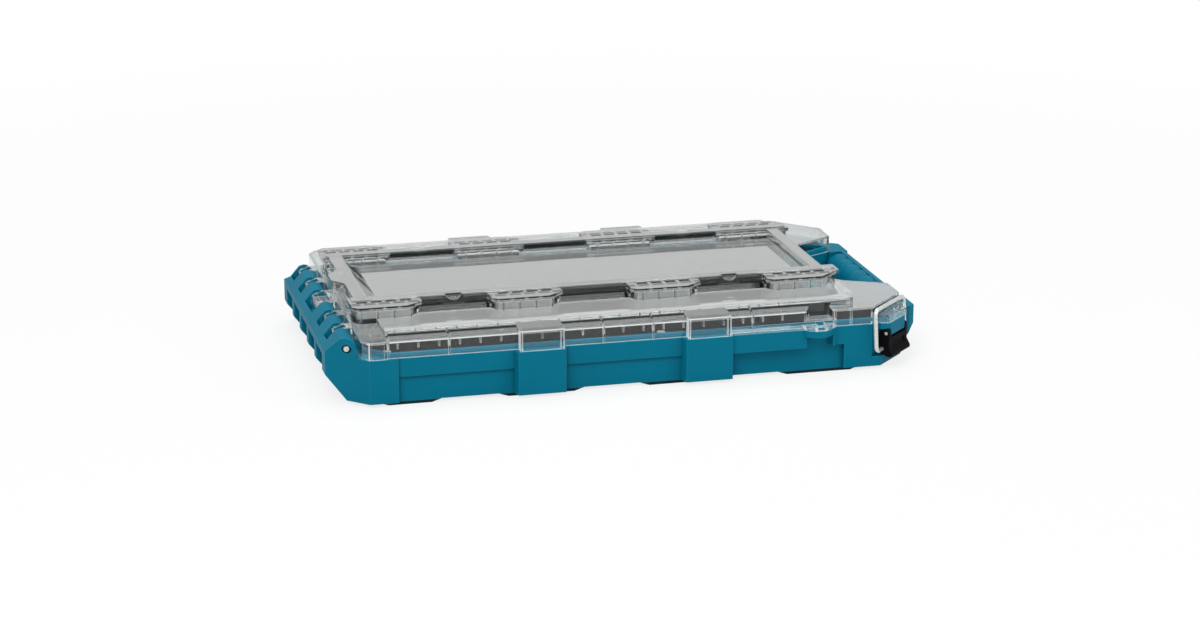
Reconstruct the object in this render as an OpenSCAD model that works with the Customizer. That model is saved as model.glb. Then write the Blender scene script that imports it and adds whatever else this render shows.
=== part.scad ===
// Saw blade storage case: teal moulded base, clear hinged lid, two corner draw
// latches, a carry handle, and an inner tray with one arbor post per blade size.
// Millimetres, Z up, standing on its feet. The hinge wall faces -X and the
// carry handle +X. "Near" is the -Y side and "far" its mirror image.

/* [Case] */
// Overall length, hinge wall to carry handle
case_len = 552; // [540:1:600]
// Width over the corner posts
case_w = 312; // [306:1:330]
// Height of the base, from its bottom edge to the seam
base_h = 40; // [38:0.5:46]
// Height of the stacking feet below the base
foot_h = 3; // [2:0.5:5]
// Wall and floor thickness of the base
base_t = 3; // [2.4:0.1:3.6]
// Chamfer of the two hinge corners
end_chamfer = 34; // [30:1:38]
// Depth of the channels under the base that straddle the rails of a case below
channel_h = 11; // [9:0.5:13]

/* [Side walls] */
// How far the pilasters stand out from the corner posts
pilaster_out = 6; // [4:0.5:9]
// Width of a pilaster
pilaster_w = 43; // [36:1:48]
// Distance of each pilaster from the middle of the pair
pilaster_x = 77; // [70:1:84]
// How far the rim band lies inside the corner posts
band_in = 2; // [1:0.5:3]
// Height of the rim band below the seam
band_h = 17; // [12:1:22]
// How far the side panels lie inside the rim band
panel_in = 2.5; // [1:0.5:3]

/* [Lid] */
// Wall thickness of the lid
lid_t = 2.4; // [2:0.1:3]
// Height of the lid's upright skirt
skirt_h = 15; // [13:0.5:18]
// Width of the slope between skirt and top
bevel_w = 11.5; // [9:0.5:14]
// Rise of that slope
bevel_h = 5.8; // [4:0.2:8]
// Height of the two rails above the top
rail_h = 12.8; // [10:0.2:14]
// Distance of a rail's middle from the middle of the case
rail_y = 76; // [72:0.5:80]
// Width of a plain rail
rail_w = 12; // [10:0.5:16]
// Spacing of the wide blocks along a rail
block_pitch = 129; // [122:1:134]
// Length of a wide block
block_len = 67; // [56:1:76]
// Gap left at the seam
seam_gap = 0.2; // [0.1:0.1:0.5]
// Spacing of the small gussets inside the slope
gusset_pitch = 18.5; // [15:0.5:24]

/* [Hinge] */
// Diameter of the hinge pin
pin_d = 5; // [4:0.5:6]
// Diameter of the lid's knuckles
knuckle_d = 14.4; // [13:0.2:15]
// Width of a narrow knuckle; the middle one is wider
knuckle_w = 15; // [12:1:18]
// Width of the middle knuckle
knuckle_mid_w = 40; // [30:1:46]
// Height of the hinge axis above the seam
axis_rise = 7; // [6.6:0.1:8]
// Distance of the hinge axis from the hinge wall's face
axis_in = 17; // [16.5:0.5:19]

/* [Latches] */
// Wire diameter of a bail
wire_d = 4; // [3:0.5:4.5]
// Width of a latch lever
lever_w = 37; // [35:1:39]
// Width of a bail between the middles of its legs
bail_w = 59; // [55:1:61]
// Diameter of a lever's pivot pin
latch_pin_d = 3; // [2.5:0.5:4]
// Diameter of the padlock hole
padlock_d = 9; // [6:0.5:10]

/* [Handle] */
// How far the handle stands out from the two lobes
handle_reach = 18; // [16:1:24]
// Width of the bar
bar_w = 22; // [18:1:26]
// Height of the bar
bar_h = 27; // [22:1:29]
// Spacing of the finger ridges round the bar
rib_pitch = 20; // [16:0.5:24]

/* [Blades] */
// Largest blade that the large well takes
large_blade_d = 254; // [230:1:255]
// Largest blade that the small well takes
small_blade_d = 165; // [140:1:167]
// Room round a blade's rim
blade_room = 3; // [1.5:0.5:3.5]
// Diameter of the arbor posts, for blades with a 5/8 inch bore
arbor_d = 15.8; // [12:0.1:16]
// Sheet thickness of the tray
tray_t = 2.5; // [2:0.1:3]
// Diameter of a retaining knob
knob_d = 44; // [36:1:50]
// Diameter of the rubber pad under the large blades
large_pad_d = 150; // [100:1:200]
// Diameter of the rubber pad under the small blades
small_pad_d = 110; // [80:1:130]
// Radius of the finger hollows beside the small well
cup_r = 30; // [24:1:32]

/* [Hidden] */
$fn = 48;
teal = [0.0, 0.43, 0.53];
clear = [0.86, 0.88, 0.88, 0.55];
black = [0.08, 0.08, 0.09];
steel = [0.74, 0.75, 0.73];

// ---- levels ----
z_edge = foot_h;                      // bottom edge of the base
z_seam = foot_h + base_h;             // seam between base and lid
z_floor = z_edge + channel_h + base_t;  // top of the base's floor
z_lid = z_seam + seam_gap;            // bottom of the lid
z_skirt = z_seam + skirt_h;           // top of the skirt
z_top = z_skirt + bevel_h;            // flat top of the lid
z_rail = z_top + rail_h;              // top of the rails
panel_rise = 3.6;                     // sunken middle panel above the flat top
z_panel = z_top + panel_rise;
z_end = z_skirt + 1.3;                // lower top over both ends of the lid
lip_h = 4.5;                          // upstand of the base inside the skirt
lip_t = 2;
lip_room = 1.1;                       // room between upstand and skirt

// ---- plan ----
x_wall = -case_len / 2;               // face of the hinge wall
x_bar = case_len / 2;                 // front face of the handle
x_lobe = x_bar - handle_reach;        // face of the two lobes beside the handle
y_post = case_w / 2;
y_band = y_post - band_in;
y_panel = y_band - panel_in;
y_pil = y_post + pilaster_out;
y_ledge = y_pil - 2;                  // rim right of the second pilaster
x_mid = -12;                          // middle of the pair of pilasters
x_post_l = x_wall + 59.6;             // ends of the side panels
x_post_r = x_lobe - 65;
x_ledge = x_lobe - 76;                // end of the wide rim
bay_x = x_lobe - 51;                  // back wall of the hand opening
lobe_y = y_post - 70;                 // inner corner of a lobe
knee_x = x_lobe - 37;
knee_y = lobe_y - 19;
bay_y = lobe_y - 34;
x_lid = x_wall + axis_in + 11;        // left wall of the lid
x_axis = x_wall + axis_in;
z_axis = z_seam + axis_rise;
lid_corner_x = 6.5;                   // small chamfer of the lid's left corners
lid_corner_y = 9.5;
wall_gap = lid_t + lip_room + lip_t;  // lid face to the inside of the base
// inset of a 45 degree chamfer's length for each millimetre of wall
chamfer_loss = 2 - sqrt(2);

// ---- latch, in its own frame: x outwards, y along the corner, z up ----
recess_r = -27.5;                     // back of the corner recess
nose_r = -14.6;                       // front of the nose
nose_c = 18;                          // half width of that front
nose_s = 21.5;                        // half width at the nose's root
lug_s = 14;                           // half width of the pivot lug
flange_r = -21.2;                     // corner of the base under the latch
flange_top = z_edge + 9;
nose_low = z_seam - 5.6;
lug_low = z_seam - 11.6;
lug_d = 6.6;                          // rounded foot of the lug, round the pivot
hook_r = -23.7;                       // bar of the closed bail
hook_z = z_skirt - 1.9;
lever_front = -14;
pivot_r = -17.5;                      // lever pivot
pivot_z = z_seam - 10;
bail_r = -21.5;                       // pivot of the bail in the lever
bail_z = z_seam - 25;
run_gap = 0.05;                       // radial running clearance
cheek_in = lug_s + 0.5;
lever_low = z_edge + 8.5;
bail_len = norm([hook_r - bail_r, hook_z - bail_z]);
bail_lean = atan2(hook_r - bail_r, hook_z - bail_z);
wire_bend = 5;

// ---- blades ----
well_room = tray_t + blade_room + 1.6;  // cavity wall to a blade's rim
x_large = x_lid + wall_gap + 1.5 + well_room + large_blade_d / 2;
x_small = bay_x - wall_gap - well_room - small_blade_d / 2;
z_deck = z_seam - 3;                  // top of the tray
z_well = z_floor + tray_t;            // floor of the wells
pad_t = 3;
post_top = z_deck;
stud_d = 10;
knob_h = 15;
washer_t = 2;
screw_d = 4;
head_d = 8;                           // head of a tray or handle screw
tray_screw_len = 12;
post_screw_r = 15;                    // circle of the screws in a post's foot

function flip(p) = [for (i = [len(p) - 1:-1:0]) [p[i][0], -p[i][1]]];

// Outline of the case at side distance y, inset by e, with corner cut k.
function case_plan(y, e, k) =
  let (c = end_chamfer - chamfer_loss * e, q = k - chamfer_loss * e,
       near = [
         [x_wall + e, -(y - e - c)], [x_wall + e + c, -(y - e)],
         [x_lobe - e - q, -(y - e)], [x_lobe - e, -(y - e - q)],
         [x_lobe - e, -(lobe_y + e)], [knee_x - 0.7 * e, -(knee_y + e)],
         [bay_x - e, -(bay_y + 0.6 * e)]])
  concat(near, flip(near));

// Outline of the lid's skirt, inset by e, with its sides at distance y.
function lid_plan(y, e) =
  let (q = -recess_r * sqrt(2) - chamfer_loss * e,
       near = [
         [x_lid + e, -(y - e * 0.6 - lid_corner_y)],
         [x_lid + lid_corner_x + e * 0.6, -(y - e)],
         [x_lobe - e - q, -(y - e)], [x_lobe - e, -(y - e - q)],
         [x_lobe - e, -(lobe_y + e)], [knee_x - 0.7 * e, -(knee_y + e)],
         [bay_x - e, -(bay_y + 0.6 * e)]])
  concat(near, flip(near));

// Outline of the base's cavity, grown by g.
function cavity_plan(g) =
  let (w = wall_gap - g, y = y_post - wall_gap - band_in + g,
       x = x_lid + wall_gap + 1.5 - g, c = 20,
       q = (w - recess_r) * sqrt(2) - w - (y_post - y),
       near = [
         [x, -(y - c)], [x + c, -y],
         [x_lobe - w - q, -y], [x_lobe - w, -(y - q)],
         [x_lobe - w, -(lobe_y + w)], [knee_x - 0.7 * w, -(knee_y + w)],
         [bay_x - w, -(bay_y + 0.6 * w)]])
  concat(near, flip(near));

// Positions along the case.
block_n = floor((case_len - 20) / block_pitch);   // wide blocks on a rail
function block_x(i) = x_mid - 10.9 + (i - (block_n - 1) / 2) * block_pitch;
pilasters = [x_mid - pilaster_x + 0.3, x_mid + pilaster_x - 0.3];
knuckles = [[-97, knuckle_w], [-54.7, knuckle_w], [0, knuckle_mid_w],
            [54.7, knuckle_w], [97, knuckle_w]];
ridge_far = 97 + knuckle_w / 2 + 3.5;   // far end of the ridge; the pin goes in from the near side
tray_holes = [for (x = [x_wall + 54, x_mid + 40, x_lobe - 68], s = [-1, 1])
              [x, s * (y_post - (x < x_mid ? 28 : 27))]];
hasp_x = x_lobe - 88.5;                // padlock hole
hasp_y = y_pil - 4.5;
hasp_in = 5;                          // middle of the tab's arc, inside the hole
hasp_out = y_pil + 6;                 // front of the tab
hasp_low = z_seam - 6;
hasp_top = z_lid + 4;
notch_x = x_ledge - 27;               // notch in the lid's slope over the tab
notch_y = y_band - bevel_w;
notch_z = z_seam + lip_h + 3;

module both_sides() { children(); mirror([0, 1, 0]) children(); }

module slab(pts, za, zb) { translate([0, 0, za]) linear_extrude(zb - za) polygon(pts); }

// Profile given as [y, z], drawn out along X.
module along_x(pts, xa, xb) {
  translate([xa, 0, 0]) rotate([90, 0, 90]) linear_extrude(xb - xa) polygon(pts);
}

// Profile given as [x, z], drawn out along Y.
module along_y(pts, ya, yb) {
  translate([0, yb, 0]) rotate([90, 0, 0]) linear_extrude(yb - ya) polygon(pts);
}

module box(xa, xb, ya, yb, za, zb) {
  translate([xa, ya, za]) cube([xb - xa, yb - ya, zb - za]);
}

// Moves children from the latch frame to the near corner.
module latch_corner() { translate([x_lobe, -y_post, 0]) rotate([0, 0, -45]) children(); }

// Rod along Y between ya and yb.
module rod_y(x, z, d, ya, yb) {
  translate([x, ya, z]) rotate([-90, 0, 0]) cylinder(h = yb - ya, d = d);
}

// ---------------------------------------------------------------- base ----

module pilaster(x, y_in, za, zb) {
  flare = 2.6;
  slab([[x - pilaster_w / 2 - flare, -y_in], [x - pilaster_w / 2, -y_pil],
        [x + pilaster_w / 2, -y_pil], [x + pilaster_w / 2 + flare, -y_in]], za, zb);
}

// Side walls: corner posts, rim band, sunken panels and pilasters.
module base_outside() {
  difference() {
    slab(case_plan(y_post, 0, -nose_r * sqrt(2)), z_edge, z_seam);
    both_sides() {
      box(x_post_l, x_post_r, -y_post - 1, -y_panel, z_edge - 1, z_seam - band_h);
      box(x_post_l, x_ledge, -y_post - 1, -y_band, z_seam - band_h - 1, z_seam + 1);
    }
  }
  both_sides() {
    for (x = pilasters) pilaster(x, y_panel - 1, z_edge, z_seam);
    slab([[pilasters[1] + pilaster_w / 2, -y_band + 1], [pilasters[1] + pilaster_w / 2, -y_ledge],
          [x_ledge, -y_ledge], [x_ledge + 4, -y_post + 0.5], [x_ledge + 4, -y_band + 1]],
         z_seam - band_h, z_seam);
    hasp_tab(hasp_low, z_seam);
  }
}

// Shallow round tab for the padlock.
module hasp_tab(za, zb) {
  y = hasp_y - hasp_in;
  translate([hasp_x - 2.5, -y, za]) cylinder(h = zb - za, r = hasp_out - y);
}

// Room for the shackle under the tab, open below.
module hasp_pocket() {
  half = padlock_d / 2 + 9;
  slab([[hasp_x - half, -hasp_out], [hasp_x - half, -y_panel], [hasp_x + half - 4, -y_panel],
        [hasp_x + half, -hasp_out]], z_seam - band_h - 1, hasp_low);
}

// Ridge over the hinge wall that carries the pin.
module hinge_ridge() {
  crown = 10;
  intersection() {
    along_y([[x_wall, z_seam - 1], [x_wall, z_seam + 1.2], [x_axis - 8.4, z_axis + 4.4],
             [x_axis - 4.2, z_axis + 9], [x_axis, z_axis + crown],
             [x_axis + 3.4, z_axis + crown - 0.7], [x_axis + 6.6, z_axis + 6.6],
             [x_axis + 6.6, z_seam - 1]],
            -y_post, ridge_far);
    slab(case_plan(y_post, 0, 20), z_seam - 2, z_seam + 40);
  }
}

// Pockets that let the lid's knuckles turn, open to the outside.
module knuckle_pockets() {
  room = 0.6;
  for (k = knuckles) {
    w = k[1] / 2 + room;
    r = knuckle_d / 2 + room;
    along_y([[x_axis + 14, z_axis + 20], [x_axis + 14, z_axis - r], [x_axis - r, z_axis - r],
             [x_axis - r - 4, z_axis - 3], [x_axis - r - 8, z_axis + 20]],
            k[0] - w, k[0] + w);
  }
}

module base_underside() {
  low = z_edge - 1;
  high = z_edge + channel_h;
  ch_in = rail_y - 11;
  ch_out = rail_y + 31;
  rib = 3;
  both_sides() {
    box(x_lid - 3, x_lobe - 43, -ch_out, -ch_in, low, high);
    for (i = [0:7]) {
      xa = x_lid + 12 + i * 52;
      box(xa, xa + 52 - rib, -y_panel + 6, -ch_out - rib, low, high);
      box(xa, xa + 52 - rib, -ch_in + rib, -rib / 2, low, high);
    }
  }
  // hollows behind the hinge wall, open below
  for (i = [-2:2]) along_y([
    [x_wall + 21, low], [x_lid + 4, low], [x_lid + 4, z_seam - 5], [x_wall + 9, z_seam - 5],
    [x_wall + 9, z_edge + 14]], i * 44 - 20, i * 44 + 20);
  // slope under the hinge wall
  along_y([[x_wall - 1, z_edge + 21], [x_wall - 1, z_edge - 1], [x_wall + 17, z_edge - 1]],
          -y_post, y_post);
}

// Pockets in the hinge wall between its upright ribs.
module wall_pockets() {
  for (y = [-88, -44, 0, 44, 88]) {
    box(x_wall - 1, x_wall + 5, y - 17, y + 17, z_edge + 8, z_seam - 5);
  }
}

module latch_recess() {
  latch_corner() {
    difference() {
      box(recess_r, 30, -34, 34, flange_top, z_seam + 1);
      slab(nose_plan(0), nose_low, z_seam + 2);
      box(recess_r - 1, pivot_r + lug_d / 2, -lug_s, lug_s, lug_low, nose_low + 1);
      rod_y(pivot_r, pivot_z, lug_d, -lug_s, lug_s);
    }
    box(flange_r, 30, -60, 60, z_edge - 1, flange_top + 1);
  }
}

// Nose in the latch frame, inset by e.
function nose_plan(e) = [[recess_r - 2, -nose_s + e], [-nose_s - e / 3, -nose_s + e],
  [nose_r - e, -nose_c + e / 2], [nose_r - e, nose_c - e / 2],
  [-nose_s - e / 3, nose_s - e], [recess_r - 2, nose_s - e]];

module base_shell() {
  color(teal) difference() {
    union() {
      base_outside();
      hinge_ridge();
      slab(cavity_plan(lip_t), z_seam - 1, z_seam + lip_h);
    }
    difference() {
      slab(cavity_plan(0), z_floor, z_seam + lip_h + 1);
      for (p = tray_holes) translate([p[0], p[1], 0]) cylinder(h = z_deck - tray_t, d = 10);
    }
    base_underside();
    wall_pockets();
    knuckle_pockets();
    both_sides() {
      hasp_pocket();
      latch_recess();
      latch_corner() rod_y(pivot_r, pivot_z, latch_pin_d, -lug_s - 1, lug_s + 1);
      translate([hasp_x, -hasp_y, z_edge]) cylinder(h = base_h + 2, d = padlock_d);
      for (y = handle_screw_y) handle_screw_hole(y, screw_d + 0.4);
    }
    rod_y(x_axis, z_axis, pin_d + 3, -y_post, -(y_post - end_chamfer + axis_in - 6));
    rod_y(x_axis, z_axis, pin_d, -y_post, ridge_far - 1.2);
    for (p = tray_holes)
      translate([p[0], p[1], z_deck - tray_screw_len - 4.5])
        cylinder(h = tray_screw_len + 8, d = screw_d - 0.8);
    for (x = [x_large, x_small], a = [0:120:240]) translate([x, 0, 0]) rotate([0, 0, a])
      translate([post_screw_r, 0, z_edge]) cylinder(h = z_floor, d = screw_d - 0.8);
  }
}

module stack_feet() {
  ramp = 9;
  color(black) both_sides() for (i = [0:block_n - 1]) {
    x = block_x(i);
    h = block_len / 2 - 3.5;
    xa = max(x - h, x_wall + 51);
    along_y([[xa, 0], [x + h, 0], [x + h + ramp, z_edge], [xa - ramp, z_edge]],
            -y_panel, -y_panel + 11);
  }
}

// -------------------------------------------------------------- handle ----

handle_screw_y = [lobe_y + 11, lobe_y + 21];
arm_out = lobe_y + 28;
z_bar = z_seam + 1;
x_grip = x_bar - bar_w;
ridge_n = floor((2 * lobe_y - 8) / rib_pitch);    // finger ridges on the bar

module handle_screw_hole(y, d) {
  translate([x_lobe - wall_gap - 1, -y, z_bar - bar_h / 2]) rotate([0, 90, 0])
    cylinder(h = wall_gap + 11, d = d);
}

// One finger ridge: a barrel round the bar's middle, of largest radius r.
module ridge_barrel(r, w) {
  depth = 1.5;
  arc = (w * w / 4 + depth * depth) / (2 * depth);
  rotate([90, 0, 0]) rotate_extrude() intersection() {
    translate([r - arc, 0]) circle(r = arc, $fn = 120);
    translate([0, -w / 2]) square([r, w]);
  }
}

module handle_grip() {
  low = z_bar - bar_h;
  grip_r = bar_h / 2 - 0.4;
  strip = 6.5;                        // smooth strip along the front
  color(teal) difference() {
    union() {
      // smooth front of the bar
      along_y([[x_bar - 4, low], [x_bar, low + 4], [x_bar, z_bar - 2.5], [x_bar - 2.5, z_bar],
               [x_bar - strip, z_bar], [x_bar - strip - 1.5, z_bar - 4],
               [x_bar - strip - 1.5, low + 3], [x_bar - strip, low]], -lobe_y + 1, lobe_y - 1);
      for (i = [0:ridge_n - 1])
        translate([x_grip + grip_r, (i - (ridge_n - 1) / 2) * rib_pitch, z_bar - bar_h / 2])
          ridge_barrel(grip_r, rib_pitch);
      both_sides() {
        rod_y(x_grip + grip_r, z_bar - bar_h / 2, 2 * grip_r - 3, -lobe_y + 2.5, -lobe_y + 8);
        slab([[x_grip + 5, -lobe_y + 4], [x_bar, -lobe_y + 4], [x_bar, -arm_out + 5],
              [x_bar - 6, -arm_out], [x_lobe, -arm_out], [x_lobe, -lobe_y + 1]], low, z_bar);
      }
    }
    // trim the barrels to the front
    box(x_bar, x_bar + bar_h, -lobe_y, lobe_y, low - 1, z_bar + 1);
    // slope under the arms
    both_sides() along_y([[x_bar - 8, low - 1], [x_bar + 1, low - 1], [x_bar + 1, low + 11]],
                         -arm_out - 1, -lobe_y + 3);
    both_sides() for (y = handle_screw_y) handle_screw_hole(y, screw_d);
  }
}

module handle_screws() {
  color(steel) both_sides() for (y = handle_screw_y)
    translate([x_lobe - wall_gap, -y, z_bar - bar_h / 2]) rotate([0, 90, 0]) {
      cylinder(h = wall_gap + 9.5, d = screw_d);
      translate([0, 0, -2.6]) cylinder(h = 2.6, d = head_d);
    }
}

// --------------------------------------------------------------- hinge ----

module hinge_pin() {
  end_y = y_post - end_chamfer + axis_in - 1.5;
  color(steel) rod_y(x_axis, z_axis, pin_d, -end_y, ridge_far - 1.5);
}

// ---------------------------------------------------------------- tray ----

module well(x, blade_d, grow, za, zb) {
  translate([x, 0, za]) cylinder(h = zb - za, r = blade_d / 2 + blade_room + grow, $fn = 96);
}

module blade_tray() {
  slot_w = 34;
  color(black) difference() {
    union() {
      slab(cavity_plan(-1), z_deck - tray_t, z_deck);
      intersection() {
        union() {
          well(x_large, large_blade_d, tray_t, z_floor, z_deck);
          well(x_small, small_blade_d, tray_t, z_floor, z_deck);
          finger_cups(tray_t, z_floor);
        }
        slab(cavity_plan(-1), z_floor, z_deck);
      }
    }
    well(x_large, large_blade_d, 0, z_well, z_deck + 1);
    well(x_small, small_blade_d, 0, z_well, z_deck + 1);
    finger_cups(0, z_well);
    for (p = tray_holes) translate([p[0], p[1], 0]) cylinder(h = 99, d = screw_d + 0.4);
    for (x = [x_large, x_small]) translate([x, 0, 0]) cylinder(h = 99, d = 38.2);
  }
}

// Hollows beside the small well for fingers and arbor rings.
module finger_cups(grow, za) {
  x = x_small + 10;
  y = small_blade_d / 2 + blade_room;
  both_sides() translate([x, -y - 12, za]) cylinder(h = z_deck + (grow > 0 ? 0 : 1) - za,
                                                     r = cup_r + grow);
}

module tray_screws() {
  color(steel) for (p = tray_holes) translate([p[0], p[1], z_deck]) {
    cylinder(h = 2.4, d = head_d);
    translate([0, 0, -tray_screw_len]) cylinder(h = tray_screw_len, d = screw_d - 0.8);
  }
}

// --------------------------------------------------------- blade posts ----

module arbor_post(x) {
  color(black) translate([x, 0, 0]) difference() {
    union() {
      translate([0, 0, z_floor]) cylinder(h = tray_t + pad_t, d = 38);
      translate([0, 0, z_floor]) cylinder(h = post_top - z_floor, d = arbor_d);
      translate([0, 0, z_floor]) cylinder(h = post_top + knob_h - 4 - z_floor, d = stud_d);
    }
    for (a = [0:120:240]) rotate([0, 0, a]) translate([post_screw_r, 0, z_floor - 1]) {
      cylinder(h = 20, d = screw_d - 0.8);
      translate([0, 0, tray_t + pad_t - 1]) cylinder(h = 9, d = 6.4);
    }
  }
}

module post_screws() {
  top = z_floor + tray_t + pad_t - 2;
  color(steel) for (x = [x_large, x_small], a = [0:120:240]) translate([x, 0, 0])
    rotate([0, 0, a]) translate([post_screw_r, 0, top]) {
      cylinder(h = 2, d = 6.2);
      translate([0, 0, -tray_t - pad_t - 1]) cylinder(h = tray_t + pad_t + 1, d = screw_d - 0.8);
    }
}

module blade_pad(x, d) {
  color([0.16, 0.16, 0.17]) translate([x, 0, z_well]) difference() {
    cylinder(h = pad_t, d = d, $fn = 72);
    translate([0, 0, -1]) cylinder(h = pad_t + 2, d = 39);
  }
}

module retaining_knob(x) {
  za = post_top + washer_t;
  grips = 6;
  color(teal) translate([x, 0, za]) difference() {
    cylinder(h = knob_h - washer_t, d = knob_d, $fn = 72);
    for (a = [0:360 / grips:359]) rotate([0, 0, a + 30])
      translate([knob_d / 2 + 5, 0, 3]) cylinder(h = knob_h, r = 9);
    translate([0, 0, -1]) cylinder(h = knob_h - 3, d = stud_d + 2 * run_gap);
    translate([0, 0, knob_h - washer_t - 2]) cylinder(h = 4, d = knob_d - 22);
  }
}

module knob_washer(x) {
  color([0.2, 0.2, 0.2]) translate([x, 0, post_top]) difference() {
    cylinder(h = washer_t, d = knob_d - 10, $fn = 72);
    translate([0, 0, -1]) cylinder(h = 9, d = stud_d + 0.4);
  }
}

// ----------------------------------------------------------------- lid ----

// Cross section of the lid's middle, inset by e.
function lid_profile(e, bottom) =
  let (out = rail_y + rail_w / 2 - e, in = rail_y - rail_w / 2 + e,
       near = [
         [-(y_band - e), bottom], [-(y_band - e), z_skirt - 0.45 * e],
         [-(y_band - bevel_w - 0.4 * e), z_top - 1.5 - 0.9 * e],
         [-(y_band - bevel_w - 0.2 - 0.9 * e), z_top + 0.5 - e],
         [-(y_band - bevel_w - 1.4 - 0.9 * e), z_top + 1.3 - e],
         [-(y_band - bevel_w - 8), z_top + 1.7 - e], [-(y_band - bevel_w - 13), z_top + 1.6 - e],
         [-(y_band - bevel_w - 15), z_top - e],
         [-(out + 6), z_top - e], [-(out + 0.6), z_top + 4 - e],
         [-out, z_rail - 0.4 - e], [-out + 0.8, z_rail - e], [-in - 0.8, z_rail - e],
         [-in, z_rail - 0.8 - e], [-in + 0.6, z_panel + 4 - e], [-in + 6, z_panel - e]])
  concat(near, [for (i = [len(near) - 1:-1:0]) [-near[i][0], near[i][1]]]);

x_main_l = x_lid + 23;                // ends of the middle section
x_main_r = x_ledge;

module lid_block(i, e) {
  x = block_x(i);
  xa = i == 0 ? x_lid + 1 : x - block_len / 2;
  xb = i == block_n - 1 ? bay_x + 3 : x + block_len / 2;
  foot_in = rail_y - 6.5;
  foot_out = rail_y + 21.5;
  cut = 11;
  round_end = i == block_n - 1 ? 18 : cut;
  // ribbed foot
  slab([[xa + 1 + e, -foot_in + e], [xa + 1 + e, -foot_out + 10], [xa + 6 + e, -foot_out + e],
        [xb - round_end - e * 0.4, -foot_out + e], [xb - 2 - e, -foot_out + round_end],
        [xb - 2 - e, -foot_in + e]], z_seam + 12, z_rail - (e > 0 ? 7 : 3.5));
  // top plate with overhanging edges
  if (e == 0)
    slab([[xa, -foot_in + 2], [xa, -foot_out - 1], [xa + 5, -foot_out - 6],
          [xb - round_end - 4, -foot_out - 6], [xb, -foot_out + round_end - 6],
          [xb, -foot_in + 2]], z_rail - 4, z_rail - 0.8);
}

// Pockets in the top plate of a block.
module block_windows(i) {
  x = block_x(i);
  n = 4;
  span = block_len - 14;
  for (k = [0:n - 1]) {
    xa = x - span / 2 + k * span / n;
    box(xa + 1.6, xa + span / n - 1.6, -rail_y - 12.2, -rail_y - 6.8, z_rail - 5.6, z_rail + 1);
  }
}

// Ribs round the foot of a block.
module block_ribs(i) {
  x = block_x(i);
  for (k = [-1.5:1:1.5]) {
    box(x + k * 15 - 0.8, x + k * 15 + 0.8, -rail_y - 23.5, -rail_y - 20, z_top - 1, z_rail - 3);
    box(x + k * 15 - 0.8, x + k * 15 + 0.8, -rail_y + 5, -rail_y + 8.5, z_top - 1, z_rail - 3);
  }
}

module pilaster_cap(x, e) {
  w = pilaster_w / 2 - 1.6 - e;
  low = z_lid - (e > 0 ? 1 : 0);
  front = z_skirt + bevel_h - 2.2 - e;
  along_x([[-(y_pil - e), low], [-(y_pil - e), front], [-(y_band - bevel_w - 3), z_top + 0.8 - e],
           [-(y_band - 20), z_top + 0.8 - e], [-(y_band - 20), low]], x - w, x + w);
}

module lid_ends(e) {
  low = z_lid - (e > 0 ? 1 : 0);
  // corner blocks at the hinge end and the whole handle end
  difference() {
    slab(lid_plan(y_post, e), low, z_end - e);
    both_sides() box(x_main_l - 1 - e, x_main_r + 1 + e, -y_post - 1, -y_band + e,
                     low - 1, z_end + 1);
  }
}

module lid_nose(e) {
  low = z_lid - (e > 0 ? 1 : 0);
  slope = 0.435;
  h0 = hook_z - 2.3 - e;
  latch_corner() intersection() {
    slab(nose_plan(e), low, z_top + 9);
    along_y([[recess_r - 9, 0], [nose_r + 1, 0], [nose_r + 1, h0 - (nose_r + 1 - hook_r) * slope],
             [recess_r - 0.2, h0 + (hook_r - recess_r + 0.2) * slope],
             [recess_r - 9, h0 + (hook_r - recess_r + 0.2) * slope]], -60, 60);
  }
}

// Low ridge that keeps the closed bail's bar on the nose.
module catch_ridge() {
  slope = 0.435;
  h0 = hook_z - 2.3;
  latch_corner() along_y([
    [hook_r + 2.2, h0 - 2.2 * slope - 1], [hook_r + 2.4, h0 - 2.4 * slope + 0.6],
    [hook_r + 3.2, h0 - 3.2 * slope + 0.6], [hook_r + 4, h0 - 4 * slope - 1]],
    -lug_s, lug_s);
}

module lid_end_bars(e) {
  // raised bars that close the sunken panel, and the tongue over the hinge
  half = rail_y - rail_w / 2 + 1;
  along_y([[x_lid + 7 + e, z_seam + 12], [x_lid + 7 + e, z_rail - e], [x_lid + 19.5 - e, z_rail - e],
           [x_lid + 22.5 - e, z_panel + 4 - e], [x_lid + 33 - e, z_panel - 0.4 - e],
           [x_lid + 33 - e, z_seam + 12]], -half, half);
  slab([[x_lid - 3 + e, -9 + e / 2], [x_lid + 14, -34 + e], [x_lid + 14, 34 - e],
        [x_lid - 3 + e, 9 - e / 2]], z_top - 1 - e, z_rail - e);
  slab([[bay_x - 19 + e, -half], [bay_x - 8 - e, -half], [bay_x - 8 - e, half],
        [bay_x - 19 + e, half]], z_seam + 12, z_rail - 1 - e);
}

// Notch in the slope that leaves room for a padlock, grown by e.
module hasp_notch(e) {
  slab([[notch_x - e, -y_post - 1], [notch_x + 9 - e, -notch_y + e], [x_ledge + e, -notch_y + e],
        [x_ledge + e, -y_post - 1]], notch_z - e, z_rail);
}

module lid_solid(e) {
  difference() {
    lid_form(e);
    both_sides() hasp_notch(e);
  }
}

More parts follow.
